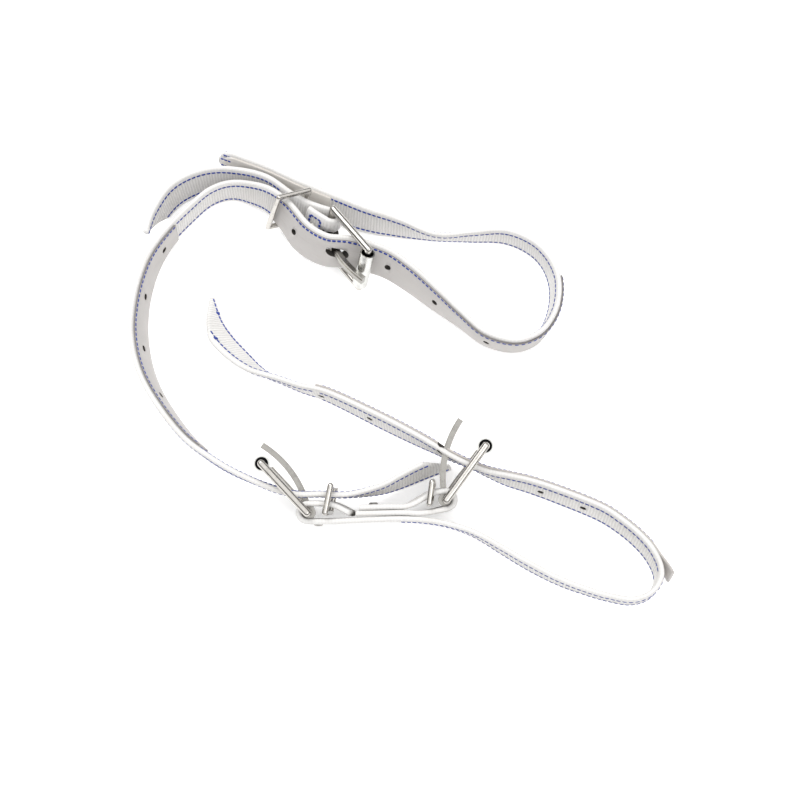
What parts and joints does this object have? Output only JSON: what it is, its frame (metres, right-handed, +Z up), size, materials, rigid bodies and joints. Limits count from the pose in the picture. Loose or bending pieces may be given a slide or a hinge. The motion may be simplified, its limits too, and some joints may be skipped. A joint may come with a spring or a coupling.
{
  "type": "tree climbing spur strap set",
  "caption": "Buckled woven strap set with leather-lined runs, roller buckles and wire keepers that ties a climbing spur to the calf and foot",
  "frame": {"origin": "on the floor under the middle of the set's bounding box", "axes": "+Z up, the straps stand on their edges; +X from the shank run toward the two loops; +Y from the foot strap toward the calf loop"},
  "size_m": [0.3264, 0.3001, 0.047],
  "materials": {
    "webbing": "woven white webbing with blue dashed stitching",
    "lining": "smooth grey leather, matt",
    "patch": "smooth pale leather",
    "wire_steel": "bright plated wire",
    "roller_steel": "bright plated tube",
    "rivet": "dull plated rivet head"
  },
  "bodies": {
    "straps": {"long_strap": "webbing", "loop_lining": "lining", "shank_lining": "lining", "splice_patch": "patch", "upper_strap": "webbing", "foot_strap": "webbing", "foot_lining": "lining", "right_tab": "webbing", "upper_rivet": "rivet", "left_rivet": "rivet", "right_rivet": "rivet"},
    "upper_frame_body": {"upper_frame": "wire_steel"},
    "upper_prong_body": {"upper_prong": "wire_steel"},
    "upper_roller_body": {"upper_roller": "roller_steel"},
    "upper_keeper_body": {"upper_keeper": "wire_steel"},
    "left_frame_body": {"left_frame": "wire_steel"},
    "left_prong_body": {"left_prong": "wire_steel"},
    "left_roller_body": {"left_roller": "roller_steel"},
    "left_keeper_body": {"left_keeper": "wire_steel"},
    "right_frame_body": {"right_frame": "wire_steel"},
    "right_prong_body": {"right_prong": "wire_steel"},
    "right_roller_body": {"right_roller": "roller_steel"},
    "right_keeper_body": {"right_keeper": "wire_steel"}
  },
  "joints": [
    {"name": "upper_frame_hinge", "type": "hinge", "parent": "straps", "child": "upper_frame_body", "pos_m": [-0.0407, 0.0945, 0.0178], "axis": [0.1985, 0.3177, 0.9272], "range_deg": [-3, 3]},
    {"name": "upper_prong_hinge", "type": "hinge", "parent": "upper_frame_body", "child": "upper_prong_body", "pos_m": [-0.0407, 0.0945, 0.0178], "axis": [0.1985, 0.3177, 0.9272], "range_deg": [-3, 0]},
    {"name": "upper_roller_spin", "type": "hinge", "parent": "upper_frame_body", "child": "upper_roller_body", "pos_m": [-0.01828, 0.06315, 0.02374], "axis": [0.1985, 0.3177, 0.9272], "continuous": true},
    {"name": "upper_keeper_slide", "type": "slide", "parent": "straps", "child": "upper_keeper_body", "axis": [-0.766, 0.6428, 0], "range_m": [-0.0015, 0.0015]},
    {"name": "left_frame_hinge", "type": "hinge", "parent": "straps", "child": "left_frame_body", "pos_m": [-0.0497, -0.0945, 0.0184], "axis": [0, -0.3256, 0.9455], "range_deg": [-3, 3]},
    {"name": "left_prong_hinge", "type": "hinge", "parent": "left_frame_body", "child": "left_prong_body", "pos_m": [-0.0497, -0.0945, 0.0184], "axis": [0, -0.3256, 0.9455], "range_deg": [-3, 1.5]},
    {"name": "left_roller_spin", "type": "hinge", "parent": "left_frame_body", "child": "left_roller_body", "pos_m": [-0.0763, -0.06753, 0.02769], "axis": [0, -0.3256, 0.9455], "continuous": true},
    {"name": "left_keeper_slide", "type": "slide", "parent": "straps", "child": "left_keeper_body", "axis": [1, 0, 0], "range_m": [-0.002, 0.002]},
    {"name": "right_frame_hinge", "type": "hinge", "parent": "straps", "child": "right_frame_body", "pos_m": [0.0313, -0.0865, 0.0184], "axis": [0, -0.342, 0.9397], "range_deg": [-3, 3]},
    {"name": "right_prong_hinge", "type": "hinge", "parent": "right_frame_body", "child": "right_prong_body", "pos_m": [0.0313, -0.0865, 0.0184], "axis": [0, -0.342, 0.9397], "range_deg": [-3, 0]},
    {"name": "right_roller_spin", "type": "hinge", "parent": "right_frame_body", "child": "right_roller_body", "pos_m": [0.05422, -0.05685, 0.02919], "axis": [0, -0.342, 0.9397], "continuous": true},
    {"name": "right_keeper_slide", "type": "slide", "parent": "straps", "child": "right_keeper_body", "axis": [0.9903, 0.1392, 0], "range_m": [-0.0015, 0.0008]}
  ]
}
